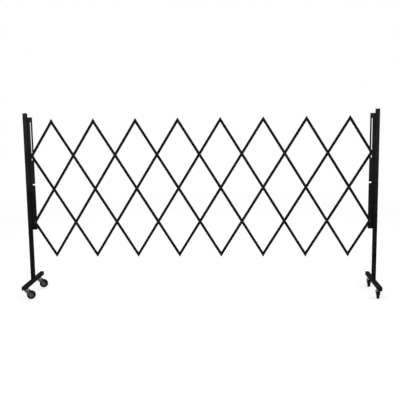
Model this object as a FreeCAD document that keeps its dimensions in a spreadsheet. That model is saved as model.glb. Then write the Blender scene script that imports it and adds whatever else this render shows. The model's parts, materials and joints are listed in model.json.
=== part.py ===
import FreeCAD, Part
import os
import re
import Sketcher

# Expanding lattice barrier on two wheeled posts.
# Millimetres and degrees. +X runs along the barrier, +Y away from the viewer, +Z up.
# The origin is on the floor, under the middle of the barrier.

SIZES = {
    # Lattice: crossed flat slats, riveted where they cross
    "diamond_count": 8,          # whole diamonds side by side between the two posts
    "rivet_pitch": 225,          # from rivet to rivet along a slat
    "rest_angle": 58.1,          # slope of the slats in the stored pose
    "slat_width": 15,
    "slat_thickness": 3,
    "slat_end": 9.5,             # from the last rivet to the end of the slat
    "slat_corner": 5.5,          # rounding of the slat's four corners
    "rivet_diameter": 4,
    "rivet_head_diameter": 9.5,
    "rivet_head_height": 2,
    "spacer_diameter": 10,       # washer that keeps the two layers of slats apart
    "pivot_clearance": 0.05,     # radial running clearance of every pin in its hole
    "head_gap": 0.1,             # end float under a rivet's front head
    "layer_gap": 0.3,            # between a slat and the guide plate that it slides over
    # Lower pivot bolt, held by the post
    "bolt_head_diameter": 10,
    "bolt_head_height": 2.8,
    "bolt_tail": 1.5,            # thread that shows behind the nut
    "nut_flats": 7,
    "nut_height": 3.2,
    # Guide plate, welded to the post
    "pivot_height": 421,         # lower pivot above the floor
    "plate_width": 29,
    "plate_thickness": 3,
    "plate_inside": 10.8,        # from the pivot line to the plate's free edge
    "plate_below": 45,           # from the lower pivot to the plate's bottom
    "plate_over_slot": 30,       # from the slot's upper round end to the plate's top
    "plate_corner": 3,
    "slot_width": 5,
    "slot_drop": 27,             # lower round end's centre below the slider
    "slot_rise": 186,            # upper round end's centre above the slider
    "slot_clearance": 0.1,       # radial clearance of the slider bush in the slot
    "notch_rise": 216,           # hook notch above the lower pivot
    "notch_height": 8,
    "notch_depth": 15,           # from the plate's free edge
    # Post and foot, square tube
    "post_over_plate": 23,       # from the plate's top to the cap's top
    "post_side": 22,
    "post_wall": 1.5,
    "post_corner": 2,
    "foot_length": 350,          # over the two end plugs
    "foot_side": 22,
    "foot_wall": 1.5,
    "foot_corner": 2,
    "cap_thickness": 2.5,        # visible part of the plastic caps and plugs
    "plug_depth": 12,            # part of a cap or plug inside its tube
    "plug_clearance": 0.1,
    # Swivel castors
    "castor_inset": 55,          # from the foot's end to the stud
    "castor_trail": 24,          # from the stud's axis to the wheel's axis
    "left_castor_angle": 0,      # heading of the left castors' trail, turned from +X
    "right_castor_angle": 77,
    "wheel_diameter": 50,
    "wheel_width": 17,
    "tread_crown": 1.2,          # rise of the tread's middle above its edges
    "tyre_depth": 9,             # from the tread to the inside of the rim
    "web_thickness": 6,
    "hub_diameter": 16,
    "hub_width": 20,
    "hub_gap": 0.5,              # from the hub to each fork leg
    "axle_diameter": 6,
    "axle_head_diameter": 10,
    "axle_head_height": 1.5,
    "axle_boss_radius": 7,       # round end of a fork leg
    "fork_thickness": 2.5,
    "fork_back": 10,             # fork's rear edge behind the stud's axis
    "fork_front": 22,            # fork's crown ahead of the stud's axis
    "fork_lip": 10,              # height of the fork's closed back
    "fork_bend": 2.4,            # rounding where crown and legs meet
    "wheel_gap": 2,              # between the wheel's top and the crown
    "crown_diameter": 30,
    "race_diameter": 21,         # raised ball race on the crown
    "race_height": 1.7,
    "race_gap": 0.3,             # running gap of the swivel bearing, above and below
    "dish_diameter": 26,         # upper half of the swivel bearing
    "dish_height": 3,
    "dish_corner": 1.5,
    "collar_diameter": 14,
    "collar_height": 4,          # neck between the swivel bearing and the foot
    "kingpin_diameter": 8,
    "kingpin_head_diameter": 12,
    "kingpin_head_height": 2,
    "stud_diameter": 8,
    "stud_length": 13,           # thread above the foot's underside
    "stud_nut_flats": 13,
    "stud_nut_height": 6.5,
}

# Sizes that follow from the ones above
DERIVED = {
    "pivot_radius": "rivet_diameter / 2",
    "hole_radius": "pivot_radius + pivot_clearance",
    "gap_half": "plate_thickness / 2 + layer_gap",
    "stack_half": "gap_half + slat_thickness",
    "slider_rise": "2 * rivet_pitch * sin(rest_angle)",
    "slot_low": "slider_rise - slot_drop",
    "slot_high": "slider_rise + slot_rise",
    "plate_above": "slot_high + plate_over_slot",
    "overall_height": "pivot_height + plate_above + post_over_plate",
    "post_offset": "plate_width - plate_inside + post_side / 2",
    "foot_top": "castor_height + foot_side",
    "foot_tube_length": "foot_length - 2 * cap_thickness",
    "stud_spacing": "foot_length - 2 * castor_inset",
    "axle_height": "wheel_diameter / 2",
    "fork_inside": "hub_width + 2 * hub_gap",
    "fork_outside": "fork_inside + 2 * fork_thickness",
    "crown_bottom": "wheel_diameter + wheel_gap",
    "crown_top": "crown_bottom + fork_thickness",
    "dish_bottom": "crown_top + race_height + race_gap",
    "dish_top": "dish_bottom + dish_height",
    "castor_height": "dish_top + collar_height",
}

ROWS = range(-1, 4)              # rows of crossings, counted from the lower pivot's row
HALF = "half circle"
SAME_PLACE = 1e-6                # closer than this, two points count as one
Y_AXIS = FreeCAD.Vector(0, 1, 0)
Z_AXIS = FreeCAD.Vector(0, 0, 1)

doc = FreeCAD.newDocument("expanding_barrier")
sheet = doc.addObject("Spreadsheet::Sheet", "sizes")
for row, (alias, number) in enumerate(SIZES.items(), start=1):
    sheet.set(f"A{row}", str(number))
    sheet.setAlias(f"A{row}", alias)
doc.recompute()

nodes = []


def bound(formula):
    """Write a formula of plain size names as an expression on the sheet's cells."""
    def cell(word):
        name = word.group()
        if name in DERIVED:
            return f"({bound(DERIVED[name])})"
        return f"sizes.{name}" if name in SIZES else name
    return re.sub(r"[a-z]\w*", cell, str(formula))


def value(formula):
    """Give the number that a formula stands for now."""
    return float(sheet.evalExpression(bound(formula)))


def new_body(label, placement):
    """Start a sub-part under its own label, at its own place."""
    body = doc.addObject("PartDesign::Body", label)
    body.Label = label
    body.AllowCompound = True
    body.Placement = placement
    nodes.append(body)
    return body


def origin_plane(body, role):
    """Find one of the body's own planes."""
    return next(part for part in body.Origin.OriginFeatures if part.Role == role)


def new_sketch(body, role, offset="0"):
    """Open a sketch on one of the body's own planes, moved along the plane's normal."""
    sketch = body.newObject("Sketcher::SketchObject", "outline")
    sketch.AttachmentSupport = [(origin_plane(body, role), "")]
    sketch.MapMode = "FlatFace"
    sketch.setExpression("AttachmentOffset.Base.z", bound(offset))
    return sketch


def set_datum(sketch, kind, reference, formula):
    """Add a dimension to a sketch and tie it to the sheet."""
    index = sketch.addConstraint(Sketcher.Constraint(kind, *reference, value(formula)))
    sketch.setExpression(f"Constraints[{index}]", bound(formula))


def fix_point(sketch, edge, end, place):
    """Dimension one point of a sketch from the sketch's origin."""
    set_datum(sketch, "DistanceX", (-1, 1, edge, end), place[0])
    set_datum(sketch, "DistanceY", (-1, 1, edge, end), place[1])


def arc_between(start, end, radius):
    """Make the short arc that turns anticlockwise from start to end."""
    chord = end - start
    middle = (start + end) * 0.5
    right = FreeCAD.Vector(chord.y, -chord.x, 0)
    right.normalize()
    sagitta = radius - max(radius * radius - chord.Length ** 2 / 4, 0) ** 0.5
    return Part.ArcOfCircle(start, middle + right * sagitta, end)


def draw_outline(sketch, corners):
    """Draw a closed outline, anticlockwise through corners (x, y).

    A third value makes the edge that arrives at the corner an arc: its radius, or HALF for a half circle.
    """
    places = [FreeCAD.Vector(value(corner[0]), value(corner[1]), 0) for corner in corners]
    edges = []
    for start, end, corner in zip(places[-1:] + places, places, corners):
        if len(corner) == 2:
            edges.append(sketch.addGeometry(Part.LineSegment(start, end)))
        else:
            half = (end - start).Length / 2
            radius = half if corner[2] == HALF else value(corner[2])
            edges.append(sketch.addGeometry(arc_between(start, end, radius)))
    for i, corner in enumerate(corners):
        following = edges[(i + 1) % len(edges)]
        sketch.addConstraint(Sketcher.Constraint("Coincident", edges[i], 2, following, 1))
        fix_point(sketch, edges[i], 2, corner)
        if len(corner) == 2:
            continue
        if corner[2] != HALF:
            set_datum(sketch, "Radius", (edges[i],), corner[2])
        elif abs(places[i].x - places[i - 1].x) > abs(places[i].y - places[i - 1].y):
            set_datum(sketch, "DistanceY", (-1, 1, edges[i], 3), corner[1])
        else:
            set_datum(sketch, "DistanceX", (-1, 1, edges[i], 3), corner[0])


def draw_circle(sketch, x, y, radius):
    """Draw a circle by its centre and radius."""
    centre = FreeCAD.Vector(value(x), value(y), 0)
    edge = sketch.addGeometry(Part.Circle(centre, Z_AXIS, value(radius)))
    fix_point(sketch, edge, 3, (x, y))
    set_datum(sketch, "Radius", (edge,), radius)


def rounded_box(x0, y0, x1, y1, radius):
    """List the corners of an upright rectangle with rounded corners."""
    return [
        (f"{x0} + {radius}", y0, radius), (f"{x1} - {radius}", y0),
        (x1, f"{y0} + {radius}", radius), (x1, f"{y1} - {radius}"),
        (f"{x1} - {radius}", y1, radius), (f"{x0} + {radius}", y1),
        (x0, f"{y1} - {radius}", radius), (x0, f"{y0} + {radius}"),
    ]


def rounded_square(side, radius):
    """List the corners of a rounded square about the origin."""
    half = f"({side}) / 2"
    return rounded_box(f"-{half}", f"-{half}", half, half, radius)


def hexagon(flats):
    """List the corners of a hexagon about the origin, from its width across flats."""
    reach = f"{flats} / 2 / cos(30)"
    return [(f"{reach} * cos({60 * k})", f"{reach} * sin({60 * k})") for k in range(6)]


def add_pad(body, sketch, length, sides="One side"):
    """Raise a sketch into a solid."""
    feature = body.newObject("PartDesign::Pad", "pad")
    feature.Profile = sketch
    feature.SideType = sides
    feature.setExpression("Length", bound(length))
    doc.recompute()
    return feature


def add_pocket(body, sketch, length=None, sides="Symmetric"):
    """Cut a sketch out of the body, right through unless a length is given."""
    before = body.Shape.Volume
    feature = body.newObject("PartDesign::Pocket", "pocket")
    feature.Profile = sketch
    feature.SideType = sides
    if length is None:
        feature.Type = "ThroughAll"
    else:
        feature.setExpression("Length", bound(length))
    doc.recompute()
    if body.Shape.Volume >= before:
        raise ValueError(f"{body.Label}: a cut removes nothing")
    return feature


def add_turning(body, sketch):
    """Turn a sketch into a solid about the sketch's upright axis."""
    feature = body.newObject("PartDesign::Revolution", "turning")
    feature.Profile = sketch
    feature.ReferenceAxis = (sketch, ["V_Axis"])
    feature.Angle = 360
    doc.recompute()
    return feature


def add_row(body, features, sketch, axis, count, spacing):
    """Repeat features in a straight row along one of a sketch's axes."""
    row = body.newObject("PartDesign::LinearPattern", "row")
    row.Originals = features
    row.Direction = (sketch, [axis])
    row.Mode = "Spacing"
    row.Occurrences = count
    row.setExpression("Offset", bound(spacing))
    body.Tip = row
    doc.recompute()
    return row


def dome(width, height):
    """Give the radius of a dome from its width and height."""
    return f"(({width}) ^ 2 / 4 + ({height}) ^ 2) / 2 / ({height})"


def crossing(u, v):
    """Place of a lattice crossing: u half diamonds from the left pivot, v rows above it."""
    along = (u - SIZES["diamond_count"]) * value("rivet_pitch * cos(rest_angle)")
    up = value("pivot_height") + v * value("rivet_pitch * sin(rest_angle)")
    return FreeCAD.Vector(along, 0, up)


def slat_crossings(index, slope):
    """List the crossings on a slat, left to right; slope is 1 where it rises and -1 where it falls."""
    first = -2 if slope > 0 else 0
    line = first + 2 * index
    spots = [(line + slope * v, v) for v in ROWS]
    inside = [spot for spot in spots if 0 <= spot[0] <= 2 * SIZES["diamond_count"]]
    return sorted(inside)


def along_slat(spot, slope, layer):
    """Frame at a crossing with its X axis along the slat."""
    place = crossing(*spot)
    place.y = value(layer)
    return FreeCAD.Placement(place, FreeCAD.Rotation(Y_AXIS, -slope * value("rest_angle")))


def build_slat(label, spots, slope):
    """Flat slat with a hole at every crossing."""
    layer = f"{slope} * (gap_half + slat_thickness / 2)"
    body = new_body(label, along_slat(spots[0], slope, layer))
    bar = new_sketch(body, "XZ_Plane")
    far_end = f"{len(spots) - 1} * rivet_pitch + slat_end"
    draw_outline(bar, rounded_box("-slat_end", "-slat_width / 2", far_end, "slat_width / 2", "slat_corner"))
    add_pad(body, bar, "slat_thickness", "Symmetric")
    hole = new_sketch(body, "XZ_Plane")
    draw_circle(hole, "0", "0", "hole_radius")
    drilled = add_pocket(body, hole)
    add_row(body, [drilled], hole, "H_Axis", len(spots), "rivet_pitch")


def draw_rivet(sketch, head_width, head_height, tail):
    """Half section of a round-headed pin through both layers of slats."""
    front = "stack_half + head_gap"
    draw_outline(sketch, [
        ("0", f"-({front} + {head_height})"),
        (f"{head_width} / 2", f"-({front})", dome(head_width, head_height)),
        ("pivot_radius", f"-({front})"),
        *tail,
    ])


def riveted_tail(head_width, head_height):
    """Rear end of a pin, spread into a second round head."""
    return [
        ("pivot_radius", "stack_half"),
        (f"{head_width} / 2", "stack_half"),
        ("0", f"stack_half + {head_height}", dome(head_width, head_height)),
    ]


def draw_washer(sketch, radius):
    """Half section of a washer on a pin, between the two layers of slats."""
    draw_outline(sketch, [
        ("hole_radius", "-gap_half + head_gap"),
        (radius, "-gap_half + head_gap"),
        (radius, "gap_half"),
        ("hole_radius", "gap_half"),
    ])


def build_rivets(label, spots):
    """Rivets of one rising slat, each with its spacer washer."""
    body = new_body(label, along_slat(spots[0], 1, "0"))
    section = new_sketch(body, "XY_Plane")
    tail = riveted_tail("rivet_head_diameter", "rivet_head_height")
    draw_rivet(section, "rivet_head_diameter", "rivet_head_height", tail)
    draw_washer(section, "spacer_diameter / 2")
    rivet = add_turning(body, section)
    if len(spots) > 1:
        add_row(body, [rivet], section, "H_Axis", len(spots), "rivet_pitch")


def build_slider(label, spot):
    """Upper end pivot: a rivet whose bush runs in the guide plate's slot."""
    body = new_body(label, along_slat(spot, 1, "0"))
    section = new_sketch(body, "XY_Plane")
    tail = riveted_tail("rivet_head_diameter", "rivet_head_height")
    draw_rivet(section, "rivet_head_diameter", "rivet_head_height", tail)
    draw_washer(section, "slot_width / 2 - slot_clearance")
    add_turning(body, section)


def build_pivot_bolt(label, spot):
    """Lower end pivot: a bolt through the guide plate, with its nut."""
    body = new_body(label, FreeCAD.Placement(crossing(*spot), FreeCAD.Rotation()))
    section = new_sketch(body, "XY_Plane")
    back = "stack_half + head_gap + nut_height + bolt_tail"
    draw_rivet(section, "bolt_head_diameter", "bolt_head_height", [("pivot_radius", back), ("0", back)])
    add_turning(body, section)
    nut = new_sketch(body, "XZ_Plane", "-(stack_half + head_gap + nut_height)")
    draw_outline(nut, hexagon("nut_flats"))
    draw_circle(nut, "0", "0", "hole_radius")
    add_pad(body, nut, "nut_height")


def stand_place(side, height):
    """Frame of a stand's own pieces: X points outwards from the barrier, at the post's axis."""
    pivot = crossing(0 if side == "left" else 2 * SIZES["diamond_count"], 0)
    outwards = -1 if side == "left" else 1
    place = FreeCAD.Vector(pivot.x + outwards * value("post_offset"), 0, value(height))
    return FreeCAD.Placement(place, FreeCAD.Rotation(Z_AXIS, 180 if side == "left" else 0))


def build_guide_plate(side):
    """Flat plate inside the post: pivot hole, long slot for the slider and a hook notch."""
    body = new_body(f"{side}_guide_plate", stand_place(side, "pivot_height"))
    edge = "-post_offset - plate_inside"
    plate = new_sketch(body, "XZ_Plane")
    draw_outline(plate, [
        ("-post_side / 2", "-plate_below"),
        ("-post_side / 2", "plate_above"),
        (f"{edge} + plate_corner", "plate_above"),
        (edge, "plate_above - plate_corner", "plate_corner"),
        (edge, "-plate_below + plate_corner"),
        (f"{edge} + plate_corner", "-plate_below", "plate_corner"),
    ])
    add_pad(body, plate, "plate_thickness", "Symmetric")
    cuts = new_sketch(body, "XZ_Plane")
    draw_circle(cuts, "-post_offset", "0", "hole_radius")
    draw_outline(cuts, [
        ("-post_offset - slot_width / 2", "slot_low"),
        ("-post_offset + slot_width / 2", "slot_low", HALF),
        ("-post_offset + slot_width / 2", "slot_high"),
        ("-post_offset - slot_width / 2", "slot_high", HALF),
    ])
    root = f"{edge} + notch_depth - notch_height / 2"
    draw_outline(cuts, [
        (f"{edge} - notch_height", "notch_rise - notch_height / 2"),
        (root, "notch_rise - notch_height / 2"),
        (root, "notch_rise + notch_height / 2", HALF),
        (f"{edge} - notch_height", "notch_rise + notch_height / 2"),
    ])
    add_pocket(body, cuts)


def build_tube(body, plane, length, sizes, sides):
    """Square tube: rounded outside, hollow right through."""
    side, wall, corner = sizes
    outside = new_sketch(body, plane)
    draw_outline(outside, rounded_square(side, corner))
    add_pad(body, outside, length, sides)
    inside = new_sketch(body, plane)
    draw_outline(inside, rounded_square(f"{side} - 2 * {wall}", f"({corner} - {wall})"))
    add_pocket(body, inside)


def build_plug(body, plane, start, sizes):
    """Plastic end cap: a flat head over the tube's end and a plug inside it."""
    side, wall, corner = sizes
    head = new_sketch(body, plane, start)
    draw_outline(head, rounded_square(side, corner))
    features = [add_pad(body, head, "cap_thickness")]
    plug = new_sketch(body, plane, f"{start} - plug_depth")
    inner_corner = f"({corner} - {wall})"
    draw_outline(plug, rounded_square(f"{side} - 2 * {wall} - 2 * plug_clearance", inner_corner))
    features.append(add_pad(body, plug, "plug_depth"))
    return features


def build_post(side):
    """Upright tube on the foot, closed by a cap."""
    sizes = ("post_side", "post_wall", "post_corner")
    length = "overall_height - cap_thickness - foot_top"
    tube = new_body(f"{side}_post_tube", stand_place(side, "foot_top"))
    build_tube(tube, "XY_Plane", length, sizes, "One side")
    cap = new_body(f"{side}_post_cap", stand_place(side, "foot_top"))
    build_plug(cap, "XY_Plane", length, sizes)


def build_foot(side):
    """Cross tube under the post, drilled for two studs, and its two end plugs."""
    sizes = ("foot_side", "foot_wall", "foot_corner")
    middle = "castor_height + foot_side / 2"
    tube = new_body(f"{side}_foot_tube", stand_place(side, middle))
    build_tube(tube, "XZ_Plane", "foot_tube_length", sizes, "Symmetric")
    holes = new_sketch(tube, "XY_Plane")
    for end in ("-", ""):
        draw_circle(holes, "0", f"{end}stud_spacing / 2", "stud_diameter / 2 + pivot_clearance")
    add_pocket(tube, holes, "foot_side", "One side")
    plugs = new_body(f"{side}_foot_plugs", stand_place(side, middle))
    features = build_plug(plugs, "XZ_Plane", "foot_tube_length / 2", sizes)
    other_end = plugs.newObject("PartDesign::Mirrored", "other_end")
    other_end.Originals = features
    other_end.MirrorPlane = (origin_plane(plugs, "XZ_Plane"), [""])
    plugs.Tip = other_end


def build_studs(side):
    """Fixed half of both castors: thread, collar, bearing dish and kingpin, with the nut in the tube."""
    place = stand_place(side, "0")
    place.Base.y = -value("stud_spacing") / 2
    place.Rotation = FreeCAD.Rotation()
    body = new_body(f"{side}_castor_studs", place)
    section = new_sketch(body, "XZ_Plane")
    shoulder = "crown_bottom - race_gap"
    draw_outline(section, [
        ("0", f"{shoulder} - kingpin_head_height"),
        ("kingpin_head_diameter / 2", f"{shoulder} - kingpin_head_height"),
        ("kingpin_head_diameter / 2", shoulder),
        ("kingpin_diameter / 2", shoulder),
        ("kingpin_diameter / 2", "dish_bottom"),
        ("dish_diameter / 2", "dish_bottom"),
        ("dish_diameter / 2", "dish_top - dish_corner"),
        ("dish_diameter / 2 - dish_corner", "dish_top", "dish_corner"),
        ("collar_diameter / 2", "dish_top"),
        ("collar_diameter / 2", "castor_height"),
        ("stud_diameter / 2", "castor_height"),
        ("stud_diameter / 2", "castor_height + stud_length"),
        ("0", "castor_height + stud_length"),
    ])
    stud = add_turning(body, section)
    ring = new_sketch(body, "XY_Plane", "castor_height + foot_wall")
    draw_outline(ring, hexagon("stud_nut_flats"))
    draw_circle(ring, "0", "0", "stud_diameter / 2 + pivot_clearance")
    nut = add_pad(body, ring, "stud_nut_height")
    add_row(body, [stud, nut], ring, "V_Axis", 2, "stud_spacing")


def castor_place(side, end, along="0", up="0"):
    """Frame of a castor: on the floor under its stud, with X along the trail."""
    place = stand_place(side, "0")
    place.Base.y = value("stud_spacing / 2") * (-1 if end == "front" else 1)
    place.Rotation = FreeCAD.Rotation(Z_AXIS, value(f"{side}_castor_angle"))
    offset = FreeCAD.Vector(value(along), 0, value(up))
    return place.multiply(FreeCAD.Placement(offset, FreeCAD.Rotation()))


def draw_fork_side(sketch):
    """Side of the fork: a straight crown, tapering legs and a round end about the axle."""
    boss = value("axle_boss_radius")
    axle = FreeCAD.Vector(value("castor_trail"), value("axle_height"), 0)
    corners = [
        ("fork_front", "crown_top"), ("-fork_back", "crown_top"), ("-fork_back", "crown_top - fork_lip"),
    ]
    front, back, lip = [FreeCAD.Vector(value(x), value(z), 0) for x, z in corners]
    left = axle - FreeCAD.Vector(boss, 0, 0)
    right = axle + FreeCAD.Vector(boss, 0, 0)
    top = sketch.addGeometry(Part.LineSegment(front, back))
    rear = sketch.addGeometry(Part.LineSegment(back, lip))
    rear_leg = sketch.addGeometry(Part.LineSegment(lip, left))
    end = sketch.addGeometry(Part.ArcOfCircle(left, axle - FreeCAD.Vector(0, boss, 0), right))
    front_leg = sketch.addGeometry(Part.LineSegment(right, front))
    sketch.addConstraint(Sketcher.Constraint("Coincident", top, 2, rear, 1))
    sketch.addConstraint(Sketcher.Constraint("Coincident", rear, 2, rear_leg, 1))
    sketch.addConstraint(Sketcher.Constraint("Coincident", front_leg, 2, top, 1))
    fix_point(sketch, top, 1, corners[0])
    fix_point(sketch, top, 2, corners[1])
    fix_point(sketch, rear, 2, corners[2])
    fix_point(sketch, end, 3, ("castor_trail", "axle_height"))
    set_datum(sketch, "Radius", (end,), "axle_boss_radius")
    sketch.addConstraint(Sketcher.Constraint("Tangent", rear_leg, 2, end, 1))
    sketch.addConstraint(Sketcher.Constraint("Tangent", end, 2, front_leg, 1))


def round_fork_bends(body):
    """Round the two long edges where the crown turns down into the legs."""
    height = value("crown_top")
    half = value("fork_outside") / 2
    base = body.Tip
    shape = base.Shape
    bends = []
    for number, edge in enumerate(shape.Edges, start=1):
        ends = [vertex.Point for vertex in edge.Vertexes]
        if all(abs(p.z - height) < SAME_PLACE and abs(abs(p.y) - half) < SAME_PLACE for p in ends):
            bends.append(f"Edge{number}")
    rounding = body.newObject("PartDesign::Fillet", "bend")
    rounding.Base = (base, bends)
    rounding.setExpression("Radius", bound("fork_bend"))
    doc.recompute()


def build_fork(side, end):
    """Swivelling fork: pressed crown with a ball race, a closed back, and two legs that hold the axle."""
    body = new_body(f"{side}_{end}_fork", castor_place(side, end))
    profile = new_sketch(body, "XZ_Plane")
    draw_fork_side(profile)
    add_pad(body, profile, "fork_outside", "Symmetric")
    round_fork_bends(body)
    inside = new_sketch(body, "YZ_Plane")
    draw_outline(inside, [
        ("-fork_inside / 2", "-axle_height"), ("fork_inside / 2", "-axle_height"),
        ("fork_inside / 2", "crown_bottom"), ("-fork_inside / 2", "crown_bottom"),
    ])
    add_pocket(body, inside)
    back = new_sketch(body, "YZ_Plane", "-fork_back")
    draw_outline(back, [
        ("-fork_outside / 2", "crown_top - fork_lip"), ("fork_outside / 2", "crown_top - fork_lip"),
        ("fork_outside / 2", "crown_bottom"), ("-fork_outside / 2", "crown_bottom"),
    ])
    add_pad(body, back, "fork_thickness")
    crown = new_sketch(body, "XY_Plane", "crown_bottom")
    draw_circle(crown, "0", "0", "crown_diameter / 2")
    add_pad(body, crown, "fork_thickness")
    race = new_sketch(body, "XY_Plane", "crown_top")
    draw_circle(race, "0", "0", "race_diameter / 2")
    add_pad(body, race, "race_height")
    kingpin = new_sketch(body, "XY_Plane", "dish_bottom")
    draw_circle(kingpin, "0", "0", "kingpin_diameter / 2 + pivot_clearance")
    add_pocket(body, kingpin, "dish_top - crown_bottom", "One side")
    axle = new_sketch(body, "XZ_Plane")
    draw_circle(axle, "castor_trail", "axle_height", "axle_diameter / 2 + pivot_clearance")
    add_pocket(body, axle)


def build_wheel(side, end):
    """Wheel turned about its axle: crowned tread, rim, thin web and hub."""
    body = new_body(f"{side}_{end}_wheel", castor_place(side, end, "castor_trail", "axle_height"))
    section = new_sketch(body, "XY_Plane")
    bore = "axle_diameter / 2 + pivot_clearance"
    edge = "wheel_diameter / 2 - tread_crown"
    inside = "wheel_diameter / 2 - tyre_depth"
    half_section = [
        (bore, "hub_width / 2"), ("hub_diameter / 2", "hub_width / 2"),
        ("hub_diameter / 2", "web_thickness / 2"), (inside, "web_thickness / 2"),
        (inside, "wheel_width / 2"), (edge, "wheel_width / 2"),
    ]
    lower = [(x, f"-{y}") for x, y in half_section]
    crowned = (edge, "wheel_width / 2", dome("wheel_width", "tread_crown"))
    draw_outline(section, lower + [crowned] + half_section[-2::-1])
    add_turning(body, section)


def build_axle(side, end):
    """Axle through fork and wheel, spread into a round head at both ends."""
    body = new_body(f"{side}_{end}_axle", castor_place(side, end, "castor_trail", "axle_height"))
    section = new_sketch(body, "XY_Plane")
    head = dome("axle_head_diameter", "axle_head_height")
    draw_outline(section, [
        ("0", "-fork_outside / 2 - axle_head_height"),
        ("axle_head_diameter / 2", "-fork_outside / 2", head),
        ("axle_diameter / 2", "-fork_outside / 2"),
        ("axle_diameter / 2", "fork_outside / 2"),
        ("axle_head_diameter / 2", "fork_outside / 2"),
        ("0", "fork_outside / 2 + axle_head_height", head),
    ])
    add_turning(body, section)


def build_lattice():
    """All slats, the rivets of the rising ones, and the four end pivots."""
    last = 2 * SIZES["diamond_count"]
    sliders = {0: "left_slider", last: "right_slider"}
    bolts = {0: "left_pivot_bolt", last: "right_pivot_bolt"}
    for index in range(SIZES["diamond_count"] + 2):
        rising = slat_crossings(index, 1)
        build_slat(f"rising_slat_{index + 1:02d}", rising, 1)
        build_slat(f"falling_slat_{index + 1:02d}", slat_crossings(index, -1), -1)
        build_rivets(f"rivets_{index + 1:02d}", [spot for spot in rising if 0 < spot[0] < last])
    for u in (0, last):
        build_slider(sliders[u], (u, 2))
        build_pivot_bolt(bolts[u], (u, 0))


def build_stand(side):
    """One wheeled end: post, guide plate, foot and two castors."""
    build_post(side)
    build_guide_plate(side)
    build_foot(side)
    build_studs(side)
    for end in ("front", "rear"):
        build_fork(side, end)
        build_wheel(side, end)
        build_axle(side, end)


build_stand("left")
build_stand("right")
build_lattice()
doc.recompute()

for item in doc.Objects:
    if "Invalid" in item.State or "Error" in item.State:
        raise ValueError(f"{item.Label} did not build")
for node in nodes:
    if node.Shape.isNull() or not node.Shape.isValid() or not node.Shape.Solids:
        raise ValueError(f"{node.Label} has no valid solid")

os.makedirs("parts", exist_ok=True)
for node in nodes:
    node.Shape.exportStep(f"parts/{node.Label}.step")
print(f"{len(nodes)} pieces written")
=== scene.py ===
"""Expandable barrier: finishes, fittings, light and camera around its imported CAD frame.

Lengths are in metres and angles in radians.
"""

import json
import logging
import math
from dataclasses import dataclass
from enum import Enum
from typing import Callable, Mapping, Sequence

import bmesh
import bpy
from mathutils import Matrix, Vector


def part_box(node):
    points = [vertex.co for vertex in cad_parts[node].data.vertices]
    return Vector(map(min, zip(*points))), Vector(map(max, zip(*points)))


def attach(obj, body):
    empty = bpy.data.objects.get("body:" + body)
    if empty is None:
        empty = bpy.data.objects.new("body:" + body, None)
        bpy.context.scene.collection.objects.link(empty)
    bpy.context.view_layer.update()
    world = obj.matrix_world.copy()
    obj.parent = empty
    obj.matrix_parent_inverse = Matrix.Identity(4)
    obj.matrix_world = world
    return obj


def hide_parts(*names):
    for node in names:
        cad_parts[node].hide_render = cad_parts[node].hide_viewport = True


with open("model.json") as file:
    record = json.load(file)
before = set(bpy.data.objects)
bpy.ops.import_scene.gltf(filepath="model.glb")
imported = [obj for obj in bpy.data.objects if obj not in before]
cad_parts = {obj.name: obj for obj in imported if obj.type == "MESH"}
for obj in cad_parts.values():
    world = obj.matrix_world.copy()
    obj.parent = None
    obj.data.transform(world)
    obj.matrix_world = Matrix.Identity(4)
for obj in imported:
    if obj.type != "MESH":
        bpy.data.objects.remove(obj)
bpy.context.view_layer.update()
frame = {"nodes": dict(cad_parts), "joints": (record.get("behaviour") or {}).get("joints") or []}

log = logging.getLogger("barrier")

Piece = bpy.types.Object
Material = bpy.types.Material
Socket = bpy.types.NodeSocket
Inputs = Mapping[str | int, Socket | float | Sequence[float]]
Pair = tuple[float, float]
Triple = tuple[float, float, float]
Colour = Triple
Corner = Sequence[float]
Section = Sequence[Pair]
Spot = tuple[int, int]
Test = Callable[[Vector, Vector], bool]

MM = 0.001
QUARTER = math.pi / 2
SAME_PLACE = 1e-6
FACING_DOWN = -0.9
CREASE = math.radians(35)
ROUNDED_CREASE = math.radians(60)
TURNING_STEPS = 32
WHEEL_STEPS = 48
BEAD_STEPS = 20
EDGE_STEPS = 2
PIVOT_HOLE = 2.05 * MM
RIVET_HEAD = 4.75 * MM

WHITE = (1, 1, 1, 1)
FULL = (0.0, 1.0)
FADING = (1.0, 0.0)
MIDDLE = (0.3, 0.7)
UPWARD_SPAN = (0.4, 1.0)
EDGE_SPAN = (0.97, 0.8)
EDGE_SAMPLES = 4

# Sockets of a colour mix: its factor, the lower and the upper colour, and the result
MIX_SOCKETS = (0, 6, 7, 2)


class Side(Enum):
    """The two wheeled ends of the barrier."""

    LEFT = "left"
    RIGHT = "right"

    @property
    def heading(self) -> float:
        """Turn about Z that points a stand's own X axis outwards."""
        return math.pi if self is Side.LEFT else 0.0


class End(Enum):
    """The two ends of a foot."""

    FRONT = "front"
    REAR = "rear"


class Slope(Enum):
    """The two layers of slats: the rear one rises to the right, the front one falls."""

    RISING = 1
    FALLING = -1

    @property
    def word(self) -> str:
        """Word for the slope in the frame's names."""
        return self.name.lower()


class Merge(Enum):
    """Ways to combine a piece with a tool body."""

    CUT = "DIFFERENCE"
    WELD = "UNION"
    KEEP_COMMON = "INTERSECT"


class Part(Enum):
    """Parts of a mesh that can be picked."""

    EDGES = "EDGE"
    FACES = "FACE"


def joint_place(name: str) -> Vector:
    """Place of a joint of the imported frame."""
    return next(Vector(joint["pos_m"]) for joint in frame["joints"] if joint["name"] == name)


def turned_to(angle: float, axis: str, place: Corner) -> Matrix:
    """Place that first turns about one axis and then moves."""
    return Matrix.Translation(place) @ Matrix.Rotation(angle, 4, axis)


def running(axis: str) -> Test:
    """Test for edges that run along an axis."""
    number = "XYZ".index(axis)
    return lambda start, end: abs(start[number] - end[number]) > SAME_PLACE


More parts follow.
